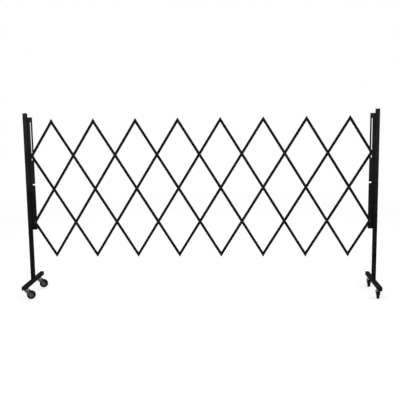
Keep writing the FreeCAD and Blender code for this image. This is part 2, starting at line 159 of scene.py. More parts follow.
def select_only(piece: Piece) -> None:
    """Select one object alone and make it the active one.

    Args:
        piece: The object to select.
    """
    bpy.ops.object.select_all(action="DESELECT")
    piece.select_set(True)
    bpy.context.view_layer.objects.active = piece


def rename(piece: Piece, name: str) -> Piece:
    """Name an object and its data alike."""
    piece.name = piece.data.name = name
    return piece


def shade(piece: Piece) -> None:
    """Shade a piece smooth, with its sharp edges kept."""
    select_only(piece)
    bpy.ops.object.shade_smooth_by_angle(angle=CREASE)


def set_place(name: str) -> Piece:
    """Put the new object's place into its mesh, and name it."""
    bpy.ops.object.transform_apply(location=True, rotation=True, scale=True)
    return rename(bpy.context.object, name)


def add_block(name: str, low: Corner, high: Corner) -> Piece:
    """Add a cube between two corners.

    Args:
        name: Name of the new object.
        low: Lowest corner.
        high: Highest corner.

    Returns:
        The block, at the origin, with its size in its mesh.
    """
    bpy.ops.object.select_all(action="DESELECT")
    middle = (Vector(low) + Vector(high)) / 2
    bpy.ops.mesh.primitive_cube_add(size=1, location=middle, scale=Vector(high) - Vector(low))
    return set_place(name)


def add_hexagon(name: str, radius: float, low: float, high: float) -> Piece:
    """Add a hexagon bar along Y.

    Args:
        name: Name of the new object.
        radius: Distance from the axis to a corner.
        low: Where it starts on Y.
        high: Where it ends on Y.

    Returns:
        The bar, at the origin, with its place in its mesh.
    """
    bpy.ops.object.select_all(action="DESELECT")
    middle = (0, (low + high) / 2, 0)
    bpy.ops.mesh.primitive_cylinder_add(
        vertices=6, radius=radius, depth=high - low, location=middle, rotation=(QUARTER, 0, 0)
    )
    return set_place(name)


def draw_line(name: str, points: Sequence[Vector]) -> Piece:
    """Draw a chain of edges, and stay in edit mode with all of it selected.

    Args:
        name: Name of the new object.
        points: Points that the chain runs through.

    Returns:
        The object that holds the chain.
    """
    bpy.ops.object.select_all(action="DESELECT")
    bpy.ops.mesh.primitive_plane_add(size=MM)
    piece = rename(bpy.context.object, name)
    bpy.ops.object.mode_set(mode="EDIT")
    bpy.ops.mesh.select_mode(type="VERT")
    bpy.ops.mesh.select_all(action="SELECT")
    bpy.ops.mesh.merge(type="CENTER")
    bpy.ops.transform.translate(value=points[0])
    for start, end in zip(points, points[1:]):
        bpy.ops.mesh.extrude_region_move(TRANSFORM_OT_translate={"value": end - start})
    bpy.ops.mesh.select_all(action="SELECT")
    return piece


def close_shape() -> None:
    """Merge the points that meet, turn the faces outwards and leave edit mode."""
    bpy.ops.mesh.select_all(action="SELECT")
    bpy.ops.mesh.remove_doubles(threshold=SAME_PLACE)
    bpy.ops.mesh.normals_make_consistent(inside=False)
    bpy.ops.object.mode_set(mode="OBJECT")


def turn(name: str, section: Section, steps: int = TURNING_STEPS) -> Piece:
    """Turn a half section about the Y axis, as on a lathe.

    Args:
        name: Name of the new object.
        section: Points (radius, place along Y). Both ends lie on the axis, or they are one point.
        steps: Number of sides of the turning.

    Returns:
        The turned piece, closed, with its faces outwards.
    """
    piece = draw_line(name, [Vector((radius, along, 0)) for radius, along in section])
    bpy.ops.mesh.spin(steps=steps, angle=2 * math.pi, center=(0, 0, 0), axis=(0, 1, 0))
    close_shape()
    shade(piece)
    return piece


def rod(name: str, radius: float, low: float, high: float) -> Piece:
    """Turn a plain round bar along Y, to drill with."""
    return turn(name, [(0, low), (radius, low), (radius, high), (0, high)])


def prism(name: str, outline: Section, low: float, high: float) -> Piece:
    """Extrude a flat outline along Y.

    Args:
        name: Name of the new object.
        outline: Corners (X, Z), in order.
        low: Where it starts on Y.
        high: Where it ends on Y.

    Returns:
        The prism, closed, with its faces outwards.
    """
    piece = draw_line(name, [Vector((across, low, up)) for across, up in outline])
    bpy.ops.mesh.edge_face_add()
    bpy.ops.mesh.extrude_region_move(TRANSFORM_OT_translate={"value": (0, high - low, 0)})
    close_shape()
    return piece


def dome(radius: float, height: float, rings: int = 6) -> list[Pair]:
    """Section of a shallow dome, from its crown to its rim.

    Args:
        radius: Radius at the rim.
        height: Height of the crown over the rim.
        rings: Number of steps from crown to rim.

    Returns:
        Points (radius, height over the rim).
    """
    ball = (radius ** 2 + height ** 2) / (2 * height)
    spans = [radius * step / rings for step in range(rings + 1)]
    return [(span, math.sqrt(ball ** 2 - span ** 2) - (ball - height)) for span in spans]


def pick(piece: Piece, part: Part, wanted: Test) -> None:
    """Enter edit mode with some of a piece's edges or faces selected.

    Args:
        piece: The piece to shape.
        part: Edges or faces.
        wanted: Test on an edge's two ends, or on a face's middle and normal.
    """
    select_only(piece)
    bpy.ops.object.mode_set(mode="EDIT")
    bpy.ops.mesh.select_mode(type=part.value)
    bpy.ops.mesh.select_all(action="DESELECT")
    shape = bmesh.from_edit_mesh(piece.data)
    if part is Part.EDGES:
        chosen = [edge for edge in shape.edges if wanted(edge.verts[0].co, edge.verts[1].co)]
    else:
        chosen = [face for face in shape.faces if wanted(face.calc_center_median(), face.normal)]
    for item in chosen:
        item.select_set(True)
    bmesh.update_edit_mesh(piece.data)


def round_edges(piece: Piece, wanted: Test, width: float, steps: int) -> None:
    """Bevel chosen edges of a piece.

    Args:
        piece: The piece to shape.
        wanted: Test on an edge's two ends.
        width: Distance that the bevel takes off each face.
        steps: Number of segments across the bevel.
    """
    pick(piece, Part.EDGES, wanted)
    bpy.ops.mesh.bevel(offset=width, offset_type="OFFSET", segments=steps, affect="EDGES")
    close_shape()


def soften(piece: Piece, width: float) -> None:
    """Round every sharp edge a little and keep the flat faces flat.

    Args:
        piece: The piece to finish.
        width: Width of the rounding.
    """
    shade(piece)
    rounding = piece.modifiers.new("rounding", "BEVEL")
    rounding.width = width
    rounding.segments = EDGE_STEPS
    rounding.limit_method = "ANGLE"
    rounding.angle_limit = CREASE
    bpy.ops.object.modifier_apply(modifier=rounding.name)
    flats = piece.modifiers.new("flats", "WEIGHTED_NORMAL")
    flats.keep_sharp = True
    bpy.ops.object.shade_smooth_by_angle(angle=ROUNDED_CREASE)
    bpy.ops.object.modifier_apply(modifier=flats.name)


def place_copy(pattern: Piece, name: str, place: Matrix) -> Piece:
    """Copy a pattern and put the copy's place into its own mesh.

    Args:
        pattern: The piece that was modelled once.
        name: Name of the copy.
        place: Where the copy goes.

    Returns:
        The copy, at the origin, unturned and unscaled.
    """
    select_only(pattern)
    bpy.ops.object.duplicate(linked=False)
    bpy.context.object.matrix_world = place
    return set_place(name)


def discard(*pieces: Piece) -> None:
    """Delete patterns and tool bodies that are done with.

    Args:
        pieces: The objects to delete.
    """
    for piece in pieces:
        select_only(piece)
        bpy.ops.object.delete()


def combine(piece: Piece, tool: Piece, way: Merge, places: Sequence[Matrix] = (Matrix(),)) -> None:
    """Cut a tool body out of a piece, weld it on or keep what they share, and remove the tool.

    Args:
        piece: The piece to shape.
        tool: The tool body.
        way: What is done with it.
        places: Where it is done, with a copy of the tool at each place.
    """
    for place in places:
        placed = place_copy(tool, "placed_tool", place)
        select_only(piece)
        change = piece.modifiers.new("change", "BOOLEAN")
        change.operation = way.value
        change.solver = "EXACT"
        change.object = placed
        bpy.ops.object.modifier_apply(modifier=change.name)
        discard(placed)
    discard(tool)


def join(pieces: Sequence[Piece], name: str) -> Piece:
    """Join pieces that ride together into one object.

    Args:
        pieces: The pieces, one or more.
        name: Name of the joined object.

    Returns:
        The joined object.
    """
    select_only(pieces[0])
    for piece in pieces[1:]:
        piece.select_set(True)
    if len(pieces) > 1:
        bpy.ops.object.join()
    return rename(pieces[0], name)


class Recipe:
    """Nodes of a procedural material, or of the surroundings, laid out step by step."""

    def __init__(self, owner: Material | bpy.types.World) -> None:
        """Start from the nodes that a new material or world comes with."""
        owner.use_nodes = True
        self.tree = owner.node_tree

    def find(self, kind: str) -> bpy.types.Node:
        """The first node of a kind."""
        return next(node for node in self.tree.nodes if node.type == kind)

    def fill(self, node: bpy.types.Node, inputs: Inputs) -> None:
        """Fill inputs of a node.

        Args:
            node: The node.
            inputs: Sockets to link, or values that are the same all over, by input.
        """
        for name, value in inputs.items():
            if isinstance(value, Socket):
                self.tree.links.new(value, node.inputs[name])
            else:
                node.inputs[name].default_value = value

    def add(self, kind: str, output: str | int, inputs: Inputs, **settings: str | int) -> Socket:
        """Add a node.

        Args:
            kind: Type of the node, without the word that all shader nodes begin with.
            output: The output that is wanted.
            inputs: Sockets to link, or values that are the same all over, by input.
            settings: Other settings of the node.

        Returns:
            The wanted output.
        """
        node = self.tree.nodes.new(f"ShaderNode{kind}")
        for name, value in settings.items():
            setattr(node, name, value)
        self.fill(node, inputs)
        return node.outputs[output]

    def feed(self, inputs: Inputs) -> None:
        """Fill inputs of the material's Principled shader."""
        self.fill(self.find("BSDF_PRINCIPLED"), inputs)

    def object_place(self) -> Socket:
        """Object coordinates."""
        return self.add("TexCoord", "Object", {})

    def stored_place(self, name: str) -> Socket:
        """Coordinates that the mesh carries along as an attribute."""
        return self.add("Attribute", "Vector", {}, attribute_name=name)

    def stretch(self, place: Socket, scale: Triple) -> Socket:
        """Scale coordinates by a different amount along each axis."""
        return self.add("Mapping", "Vector", {"Vector": place, "Scale": scale})

    def noise(self, place: Socket, grain: Pair) -> Socket:
        """Soft noise from 0 to 1, of a grain (scale, detail)."""
        return self.add("TexNoise", "Fac", {"Vector": place, "Scale": grain[0], "Detail": grain[1]})

    def cells(self, place: Socket, scale: float) -> Socket:
        """Crystal cells, each with its own colour."""
        return self.add("TexVoronoi", "Color", {"Vector": place, "Scale": scale})

    def axis(self, place: Socket, name: str) -> Socket:
        """One coordinate of a vector."""
        return self.add("SeparateXYZ", name, {"Vector": place})

    def maths(self, operation: str, first: Socket, second: Socket | float = 0.0) -> Socket:
        """Work out a value from a socket and a second socket or number."""
        return self.add("Math", "Value", {0: first, 1: second}, operation=operation)

    def times(self, first: Socket, second: Socket | float) -> Socket:
        """Multiply a socket by a second socket or number."""
        return self.maths("MULTIPLY", first, second)

    def spread(self, value: Socket, source: Pair, target: Pair) -> Socket:
        """Map a span of values onto another, clamped at its ends."""
        spans = {"From Min": source[0], "From Max": source[1], "To Min": target[0], "To Max": target[1]}
        return self.add("MapRange", "Result", {"Value": value, **spans})

    def tint(self, value: Socket, dark: Colour, light: Colour) -> Socket:
        """Run from a dark to a light colour as a value rises through its middle.

        Args:
            value: The value, from 0 to 1.
            dark: Colour where it is low.
            light: Colour where it is high.

        Returns:
            Socket of the colour.
        """
        colour = self.add("ValToRGB", "Color", {"Fac": value})
        for stop, place, tone in zip(colour.node.color_ramp.elements, MIDDLE, (dark, light)):
            stop.position = place
            stop.color = (*tone, 1)
        return colour

    def cover(self, mask: Socket, under: Socket, over: Colour) -> Socket:
        """Lay a colour over another where a mask is high."""
        factor, lower, upper, result = MIX_SOCKETS
        return self.add("Mix", result, {factor: mask, lower: under, upper: (*over, 1)}, data_type="RGBA")

    def facing_up(self) -> Socket:
        """How far the surface faces upwards, from 0 to 1."""
        return self.spread(self.axis(self.add("NewGeometry", "Normal", {}), "Z"), UPWARD_SPAN, FULL)

    def near_edge(self, radius: float) -> Socket:
        """Mask of the sharp edges.

        Args:
            radius: How far the mask reaches from an edge.

        Returns:
            Socket that is 1 on a sharp edge and 0 away from it.
        """
        rounded = self.add("Bevel", "Normal", {"Radius": radius}, samples=EDGE_SAMPLES)
        plain = self.add("NewGeometry", "Normal", {})
        alike = self.add("VectorMath", "Value", {0: rounded, 1: plain}, operation="DOT_PRODUCT")
        return self.spread(alike, EDGE_SPAN, FULL)

    def relief(self, height: Socket, bump: Pair) -> None:
        """Raise the surface by a height, as bump (strength, depth)."""
        inputs = {"Height": height, "Strength": bump[0], "Distance": bump[1]}
        self.feed({"Normal": self.add("Bump", "Normal", inputs)})

    def seen_rays(self) -> Socket:
        """Tell the rays that see the surroundings from those that light the object.

        Returns:
            Socket that is 1 for camera, glossy and transmission rays.
        """
        seen = self.add("LightPath", "Is Camera Ray", {})
        path = seen.node
        for name in ("Is Glossy Ray", "Is Transmission Ray"):
            seen = self.maths("MAXIMUM", seen, path.outputs[name])
        return seen


@dataclass(frozen=True, kw_only=True)
class Finish:
    """What every finish has: a name, the record's slot, two tones, its shine and a fine grain."""

    name: str
    slot: str
    dark: Colour
    light: Colour
    rough: Pair
    specular: float = 0.5
    grain: Pair = (1400.0, 2.0)
    bump: Pair = (0.6, 0.05 * MM)

    def mix(self, recipe: Recipe) -> None:
        """Lay out the material's nodes."""
        raise NotImplementedError

    def material(self) -> Material:
        """Give the one material of this finish, made when first asked for.

        Returns:
            The material.
        """
        made = bpy.data.materials.get(self.name)
        if made is None:
            made = bpy.data.materials.new(self.name)
            self.mix(Recipe(made))
        return made

    def lay(self, recipe: Recipe, place: Socket, shades: Socket, colour: Socket) -> None:
        """Give the surface its colour, its shine and its grain.

        Args:
            recipe: The material being laid out.
            place: Coordinates of the grain.
            shades: Value from 0 to 1 that the roughness follows.
            colour: Colour of the surface.
        """
        rough = recipe.spread(shades, MIDDLE, self.rough)
        recipe.feed({"Base Color": colour, "Roughness": rough, "Specular IOR Level": self.specular})
        recipe.relief(recipe.noise(place, self.grain), self.bump)


@dataclass(frozen=True, kw_only=True)
class PowderCoat(Finish):
    """Satin powder coat: orange peel, faint clouds, painted light that makes it paler towards the top,
    rubbed edges and dust.
    """

    edge: Colour
    dust: Colour
    # Painted light: a paler colour laid on towards the top, as if lit from above.
    aged: Colour
    grain: Pair = (1300.0, 2.0)
    bump: Pair = (0.5, 0.05 * MM)
    clouds: Pair = (11.0, 5.0)
    patches: Pair = (60.0, 4.0)
    patch_span: Pair = (0.45, 0.65)
    dust_cover: float = 0.3
    # Heights over which the painted light from above fades in, and how much of it is laid on.
    aged_heights: Pair = (420 * MM, 960 * MM)
    aged_cover: Pair = (0.6, 1.0)
    edge_radius: float = 0.9 * MM

    def mix(self, recipe: Recipe) -> None:
        """Lay out the material's nodes.

        Args:
            recipe: The material being laid out.
        """
        place = recipe.object_place()
        clouds = recipe.noise(place, self.clouds)
        colour = recipe.tint(clouds, self.dark, self.light)
        # Painted light: the paint grows paler towards the top by height, as if lit from above.
        risen = recipe.spread(recipe.axis(place, "Z"), self.aged_heights, FULL)
        aged = recipe.times(risen, recipe.spread(clouds, MIDDLE, self.aged_cover))
        colour = recipe.cover(aged, colour, self.aged)
        patches = recipe.spread(recipe.noise(place, self.patches), self.patch_span, FULL)
        settled = recipe.times(recipe.facing_up(), patches)
        colour = recipe.cover(recipe.times(settled, self.dust_cover), colour, self.dust)
        worn = recipe.times(recipe.near_edge(self.edge_radius), patches)
        self.lay(recipe, place, clouds, recipe.cover(worn, colour, self.edge))


@dataclass(frozen=True, kw_only=True)
class SlatPaint(Finish):
    """Thin paint on drawn strip: streaks along the slat, and rings rubbed grey round the rivets."""

    edge: Colour
    rubbed: Colour
    pitch: float
    head_radius: float
    place_name: str = "slat_place"
    grain: Pair = (1500.0, 2.0)
    bump: Pair = (0.4, 0.04 * MM)
    clouds: Pair = (35.0, 4.0)
    streaks: Pair = (220.0, 4.0)
    streak_stretch: Triple = (0.03, 1.0, 1.0)
    ring_width: float = 1.6 * MM
    edge_radius: float = 0.6 * MM

    def mix(self, recipe: Recipe) -> None:
        """Lay out the material's nodes.

        Args:
            recipe: The material being laid out.
        """
        place = recipe.stored_place(self.place_name)
        streaks = recipe.noise(recipe.stretch(place, self.streak_stretch), self.streaks)
        clouds = recipe.noise(place, self.clouds)
        colour = recipe.tint(streaks, self.dark, self.light)
        colour = recipe.cover(recipe.times(self.rings(recipe, place), clouds), colour, self.rubbed)
        worn = recipe.times(recipe.near_edge(self.edge_radius), clouds)
        self.lay(recipe, place, streaks, recipe.cover(worn, colour, self.edge))

    def rings(self, recipe: Recipe, place: Socket) -> Socket:
        """Mask of the rings where the rivet heads have rubbed.

        Args:
            recipe: The material being laid out.
            place: Coordinates along, through and across the slat.

        Returns:
            Socket that is 1 at a head's rim and 0 away from it.
        """
        along = recipe.axis(place, "X")
        across = recipe.axis(place, "Z")
        count = recipe.maths("ROUND", recipe.maths("DIVIDE", along, self.pitch))
        offset = recipe.maths("SUBTRACT", along, recipe.times(count, self.pitch))
        square = recipe.maths("ADD", recipe.times(offset, offset), recipe.times(across, across))
        rim = (self.head_radius, self.head_radius + self.ring_width)
        return recipe.spread(recipe.maths("SQRT", square), rim, FADING)


@dataclass(frozen=True, kw_only=True)
class RivetPaint(Finish):
    """Black paint that is rubbed a little on the crown of each head."""

    rubbed: Colour
    crown: Pair
    grain: Pair = (1800.0, 2.0)
    bump: Pair = (0.3, 0.03 * MM)
    clouds: Pair = (90.0, 4.0)
    scratches: Pair = (700.0, 3.0)
    scratch_span: Pair = (0.4, 0.6)
    scratch_cover: Pair = (0.2, 1.0)

    def mix(self, recipe: Recipe) -> None:
        """Lay out the material's nodes.

        Args:
            recipe: The material being laid out.
        """
        place = recipe.object_place()
        clouds = recipe.noise(place, self.clouds)
        colour = recipe.tint(clouds, self.dark, self.light)
        crown = recipe.spread(recipe.maths("ABSOLUTE", recipe.axis(place, "Y")), self.crown, FULL)
        scratches = recipe.noise(place, self.scratches)
        worn = recipe.times(crown, recipe.spread(scratches, self.scratch_span, self.scratch_cover))
        self.lay(recipe, place, clouds, recipe.cover(worn, colour, self.rubbed))


@dataclass(frozen=True, kw_only=True)
class Plating(Finish):
    """Dull plated steel: crystal patches, faint clouds and fine drawn lines."""

    grain: Pair = (900.0, 2.0)
    bump: Pair = (0.3, 0.02 * MM)
    clouds: Pair = (70.0, 5.0)
    crystal_scale: float = 320.0
    crystal_share: float = 0.3
    line_stretch: Triple = (1.0, 1.0, 0.1)

    def mix(self, recipe: Recipe) -> None:
        """Lay out the material's nodes.

        Args:
            recipe: The material being laid out.
        """
        place = recipe.object_place()
        clouds = recipe.times(recipe.noise(place, self.clouds), 1 - self.crystal_share)
        crystals = recipe.axis(recipe.cells(place, self.crystal_scale), "X")
        mixed = recipe.maths("ADD", clouds, recipe.times(crystals, self.crystal_share))
        recipe.feed({"Metallic": 1.0})
        lines = recipe.stretch(place, self.line_stretch)
        self.lay(recipe, lines, mixed, self.colour(recipe, place, mixed))

    def colour(self, recipe: Recipe, place: Socket, mixed: Socket) -> Socket:
        """Colour of the plate, from its clouds and crystals."""
        return recipe.tint(mixed, self.dark, self.light)


@dataclass(frozen=True, kw_only=True)
class ShadedLegPlating(Plating):
    """Plated steel with painted shade on the fork's lower legs, which thins out upwards."""

    painted_leg_shade: Colour
    # Heights over which the painted shade on the lower legs fades out.
    clear: Pair
    ripple: float = 6 * MM

    def colour(self, recipe: Recipe, place: Socket, mixed: Socket) -> Socket:
        """Colour of the plate under its painted shade.

        Args:
            recipe: The material being laid out.
            place: Object coordinates.
            mixed: Clouds and crystals, from 0 to 1.

        Returns:
            Socket of the colour.
        """
        # Painted shade: the plate darkens towards the bottom of the fork's legs, with a wavy edge.
        height = recipe.maths("ADD", recipe.axis(place, "Z"), recipe.times(mixed, self.ripple))
        leg_shade = recipe.spread(height, self.clear, FADING)
        return recipe.cover(leg_shade, super().colour(recipe, place, mixed), self.painted_leg_shade)


@dataclass(frozen=True, kw_only=True)
class Moulding(Finish):
    """Moulded plastic or rubber: fine grain, faint clouds and scuffs."""

    scuff: Colour
    clouds: Pair = (45.0, 4.0)
    scuffs: Pair = (210.0, 6.0)
    scuff_span: Pair = (0.56, 0.72)
    scuff_cover: Pair = (0.0, 0.6)

    def mix(self, recipe: Recipe) -> None:
        """Lay out the material's nodes.

        Args:
            recipe: The material being laid out.
        """
        place = recipe.object_place()
        clouds = recipe.noise(place, self.clouds)
        colour = recipe.tint(clouds, self.dark, self.light)
        scuffs = recipe.spread(recipe.noise(place, self.scuffs), self.scuff_span, self.scuff_cover)
        self.lay(recipe, place, clouds, recipe.cover(scuffs, colour, self.scuff))


FRAME_PAINT = PowderCoat(
    name="frame_powder_coat", slot="frame_paint",
    dark=(0.0040, 0.0043, 0.0045), light=(0.0104, 0.0111, 0.0115), rough=(0.62, 0.78), specular=0.01,
    # The last colour is painted light, laid on towards the top of the posts and plates.
    edge=(0.036, 0.037, 0.038), dust=(0.016, 0.0157, 0.0153), aged=(0.0170, 0.0189, 0.0192),
)
SLAT_PAINT = SlatPaint(
    name="slat_black_paint", slot="slat_paint",
    dark=(0.0014, 0.0014, 0.0015), light=(0.0058, 0.0059, 0.0062), rough=(0.40, 0.60), specular=0.06,
    edge=(0.060, 0.060, 0.061), rubbed=(0.034, 0.034, 0.034), pitch=225 * MM, head_radius=RIVET_HEAD,
)
RIVET_PAINT = RivetPaint(
    name="rivet_black_paint", slot="rivet_paint",
    dark=(0.0022, 0.0022, 0.0024), light=(0.0062, 0.0062, 0.0066), rough=(0.38, 0.52), specular=0.08,
    rubbed=(0.030, 0.030, 0.031), crown=(6.1 * MM, 6.9 * MM),
)
PIVOT_STEEL = Plating(
    name="pivot_dark_plating", slot="pivot_steel",
    dark=(0.026, 0.026, 0.027), light=(0.042, 0.042, 0.043), rough=(0.34, 0.48),
)
# The studs' zinc is brighter and the fork's darker. This is partly their own plating, and partly painted
# light on the studs, lit from above, and painted shade on the fork's legs.
BRIGHT_LIT_ZINC = Plating(
    name="castor_bright_lit_zinc", slot="castor_steel",
    dark=(0.42, 0.42, 0.415), light=(0.58, 0.58, 0.57), rough=(0.30, 0.44),
)
DULL_SHADED_ZINC = ShadedLegPlating(
    name="castor_dull_shaded_zinc", slot="castor_steel",
    dark=(0.14, 0.14, 0.14), light=(0.21, 0.21, 0.207), rough=(0.42, 0.56),
    # Painted shade on the fork's lower legs, fading out between the two heights.
    painted_leg_shade=(0.065, 0.066, 0.067), clear=(46 * MM, 56 * MM),
)
AXLE_STEEL = Plating(
    name="axle_dark_plating", slot="castor_steel",
    dark=(0.070, 0.071, 0.072), light=(0.115, 0.116, 0.117), rough=(0.42, 0.56),
)
CAP_PLASTIC = Moulding(
    name="cap_black_plastic", slot="cap_plastic",
    dark=(0.0050, 0.0050, 0.0053), light=(0.0085, 0.0085, 0.0088), rough=(0.58, 0.70), specular=0.03,
    scuff=(0.018, 0.018, 0.018),
)
BUSH_NYLON = Moulding(
    name="bush_grey_nylon", slot="cap_plastic",
    dark=(0.030, 0.030, 0.031), light=(0.042, 0.042, 0.043), rough=(0.45, 0.58), specular=0.3,
    scuff=(0.060, 0.060, 0.060),
)
WHEEL_PLASTIC = Moulding(
    name="wheel_core_plastic", slot="wheel_rubber",
    dark=(0.105, 0.107, 0.108), light=(0.145, 0.147, 0.148), rough=(0.48, 0.60), specular=0.25,
    scuff=(0.150, 0.150, 0.148),
)
TYRE_RUBBER = Moulding(
    name="tyre_black_rubber", slot="wheel_rubber",
    dark=(0.005, 0.005, 0.005), light=(0.008, 0.008, 0.008), rough=(0.64, 0.80), specular=0.08,
    scuff=(0.022, 0.0215, 0.021), grain=(900.0, 2.0),
)


def settle(piece: Piece, finish: Finish, body: str, *nodes: str) -> None:
    """Dress a finished piece and set it on its body.

    Args:
        piece: The piece, in place.
        finish: Its finish.
        body: CAD body that it moves with.
        nodes: CAD nodes that it stands for.
    """
    piece.data.materials.clear()
    piece.data.materials.append(finish.material())
    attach(piece, body)
    if nodes:
        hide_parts(*nodes)
    log.info("%s rides on %s, %d faces", piece.name, body, len(piece.data.polygons))


def repaint(finish: Finish, *nodes: str) -> None:
    """Give CAD nodes that stay visible a better finish.

    Args:
        finish: The finish.
        nodes: CAD nodes that keep their shapes.
    """
    for name in nodes:
        for slot in frame["nodes"][name].material_slots:
            slot.material = finish.material()
        log.info("%s keeps its CAD shape, in %s", name, finish.name)


@dataclass
class Lattice:
    """The folding lattice: two layers of slats, their rivets and the four end pivots."""

    diamonds: int = 8
    low_row: int = -1
    slider_row: int = 2
    high_row: int = 3
    slat_width: float = 15 * MM
    slat_thickness: float = 3 * MM
    slat_corner: float = 0.9 * MM
    slat_corner_steps: int = 4
    slat_edge: float = 0.35 * MM
    layer: float = 3.3 * MM
    hole_radius: float = PIVOT_HOLE
    pin_radius: float = 2 * MM
    front_face: float = -4.9 * MM
    rear_face: float = 4.8 * MM
    head_radius: float = RIVET_HEAD
    head_height: float = 2 * MM
    dimple_radius: float = 1.7 * MM
    dimple_depth: float = 0.5 * MM
    dimple_shares: tuple[Pair, ...] = ((1.0, 0.2), (0.7, 0.8), (0.0, 1.0))
    spacer_radius: float = 5 * MM
    spacer_low: float = -1.7 * MM
    spacer_high: float = 1.8 * MM
    spacer_chamfer: float = 0.3 * MM
    bush_radius: float = 2.0 * MM
    waist_radius: float = 1.5 * MM
    bolt_head_radius: float = 5 * MM
    bolt_head_height: float = 2.8 * MM
    socket_radius: float = 1.5 * MM
    socket_depth: float = 1.5 * MM
    nut_radius: float = 4.0415 * MM
    nut_low: float = 4.9 * MM
    nut_high: float = 8.1 * MM
    nut_chamfer: float = 0.5 * MM
    bolt_end: float = 9.6 * MM
    thread_pitch: float = 0.5 * MM
    thread_depth: float = 0.28 * MM

    def __post_init__(self) -> None:
        """Work out the grid of crossings from the frame's own joints."""
        self.first = joint_place("lattice_fold")
        self.last_column = 2 * self.diamonds
        self.step_along = (joint_place("right_stand_pivot").x - self.first.x) / self.last_column
        self.step_up = (joint_place("rising_01_pivot").z - self.first.z) / self.slider_row
        self.pitch = math.hypot(self.step_along, self.step_up)
        self.angle = math.atan2(self.step_up, self.step_along)
        slat_count = self.diamonds + 2
        self.numbers = range(1, slat_count + 1)

    def crossing(self, spot: Spot) -> Vector:
        """Place of a crossing: half diamonds from the left pivot, and rows above it."""
        return self.first + Vector((spot[0] * self.step_along, 0, spot[1] * self.step_up))

    def spots(self, number: int, slope: Slope) -> list[Spot]:
        """List the crossings on one slat.

        Args:
            number: Number of the slat in its layer, from 1.
            slope: Layer of the slat.

        Returns:
            Crossings (half diamonds, rows), from left to right.
        """
        first_line = -2 if slope is Slope.RISING else 0
        line = first_line + 2 * (number - 1)
        rows = range(self.low_row, self.high_row + 1)
        spots = [(line + slope.value * row, row) for row in rows]
        return sorted(spot for spot in spots if 0 <= spot[0] <= self.last_column)

    def model_slat(self, holes: int) -> Piece:
        """Model a rising slat along X, with its first hole at the origin.

        Its ends are cut along the edges of the slats that it crosses there, so each pair ends in a point.

        Args:
            holes: Number of holes, one rivet pitch apart.

        Returns:
            The pattern, which carries its own coordinates as an attribute.
        """
        half = self.slat_width / 2
        last = (holes - 1) * self.pitch
        short, long = half / math.tan(self.angle), half * math.tan(self.angle)
        outline = [(-short, half), (-long, -half), (last + short, -half), (last + long, half)]
        slat = prism("slat", outline, -self.slat_thickness / 2, self.slat_thickness / 2)
        round_edges(slat, running("Y"), self.slat_corner, self.slat_corner_steps)
        drill = rod("drill", self.hole_radius, -self.slat_thickness, self.slat_thickness)
        places = [Matrix.Translation((hole * self.pitch, 0, 0)) for hole in range(holes)]
        combine(slat, drill, Merge.CUT, places)
        soften(slat, self.slat_edge)
        carried = slat.data.attributes.new(SLAT_PAINT.place_name, "FLOAT_VECTOR", "POINT")
        for vertex, store in zip(slat.data.vertices, carried.data):
            store.vector = vertex.co
        return slat

    def build_slats(self) -> None:
        """Set both layers of slats in place."""
        patterns: dict[int, Piece] = {}
        for slope in Slope:
            for number in self.numbers:
                spots = self.spots(number, slope)
                pattern = patterns.get(len(spots)) or self.model_slat(len(spots))
                patterns[len(spots)] = pattern
                layer = Vector((0, slope.value * self.layer, 0))
                place = turned_to(-slope.value * self.angle, "Y", self.crossing(spots[0]) + layer)
                if slope is Slope.FALLING:
                    place = place @ Matrix.Rotation(math.pi, 4, "X")
                slat = place_copy(pattern, f"{slope.word}_strip_{number:02d}", place)
                settle(slat, SLAT_PAINT, f"{slope.word}_{number:02d}", f"{slope.word}_slat_{number:02d}")
        discard(*patterns.values())

    def model_rivet(self, waist: float) -> Piece:
        """Model a rivet: a smooth dome in front, and behind a spread tail with the tool's dimple.

        Args:
            waist: Radius of the shank between the two layers of slats.

        Returns:
            The pattern, about the Y axis.
        """
        pin, low, high = self.pin_radius, self.spacer_low, self.spacer_high
        hollow, deep = self.dimple_radius, self.dimple_depth
        crown = self.rear_face + self.head_height
        head = dome(self.head_radius, self.head_height)
        front = [(radius, self.front_face - height) for radius, height in head]
        waisted = [(pin, low), (waist, low), (waist, high), (pin, high)]
        shank = [(pin, self.front_face), *waisted, (pin, self.rear_face)]
        rear = [(radius, self.rear_face + height) for radius, height in reversed(head) if radius > hollow]
        dimple = [(across * hollow, crown - down * deep) for across, down in self.dimple_shares]
        return turn("rivet", [*front, *shank, *rear, *dimple])

    def model_ring(self, name: str, bore: float, radius: float) -> Piece:
        """Model a chamfered ring that sits on a rivet between the two layers.

        Args:
            name: Name of the pattern.
            bore: Inner radius.
            radius: Outer radius.

        Returns:
            The pattern, about the Y axis.
        """
        low, high, cut = self.spacer_low, self.spacer_high, self.spacer_chamfer
        return turn(name, [
            (bore, low), (radius - cut, low), (radius, low + cut), (radius, high - cut),
            (radius - cut, high), (bore, high), (bore, low),
        ])

    def build_rivets(self) -> None:
        """Set a row of rivets and spacers on every rising slat."""
        spacer = self.model_ring("spacer", self.hole_radius, self.spacer_radius)
        pattern = join([self.model_rivet(self.pin_radius), spacer], "spaced_rivet")
        for number in self.numbers:
            inner = [spot for spot in self.spots(number, Slope.RISING) if 0 < spot[0] < self.last_column]
            places = [Matrix.Translation(self.crossing(spot)) for spot in inner]
            rivets = [place_copy(pattern, "rivet_copy", place) for place in places]
            row = join(rivets, f"rivet_row_{number:02d}")
            settle(row, RIVET_PAINT, f"rising_{number:02d}", f"rivets_{number:02d}")
        discard(pattern)

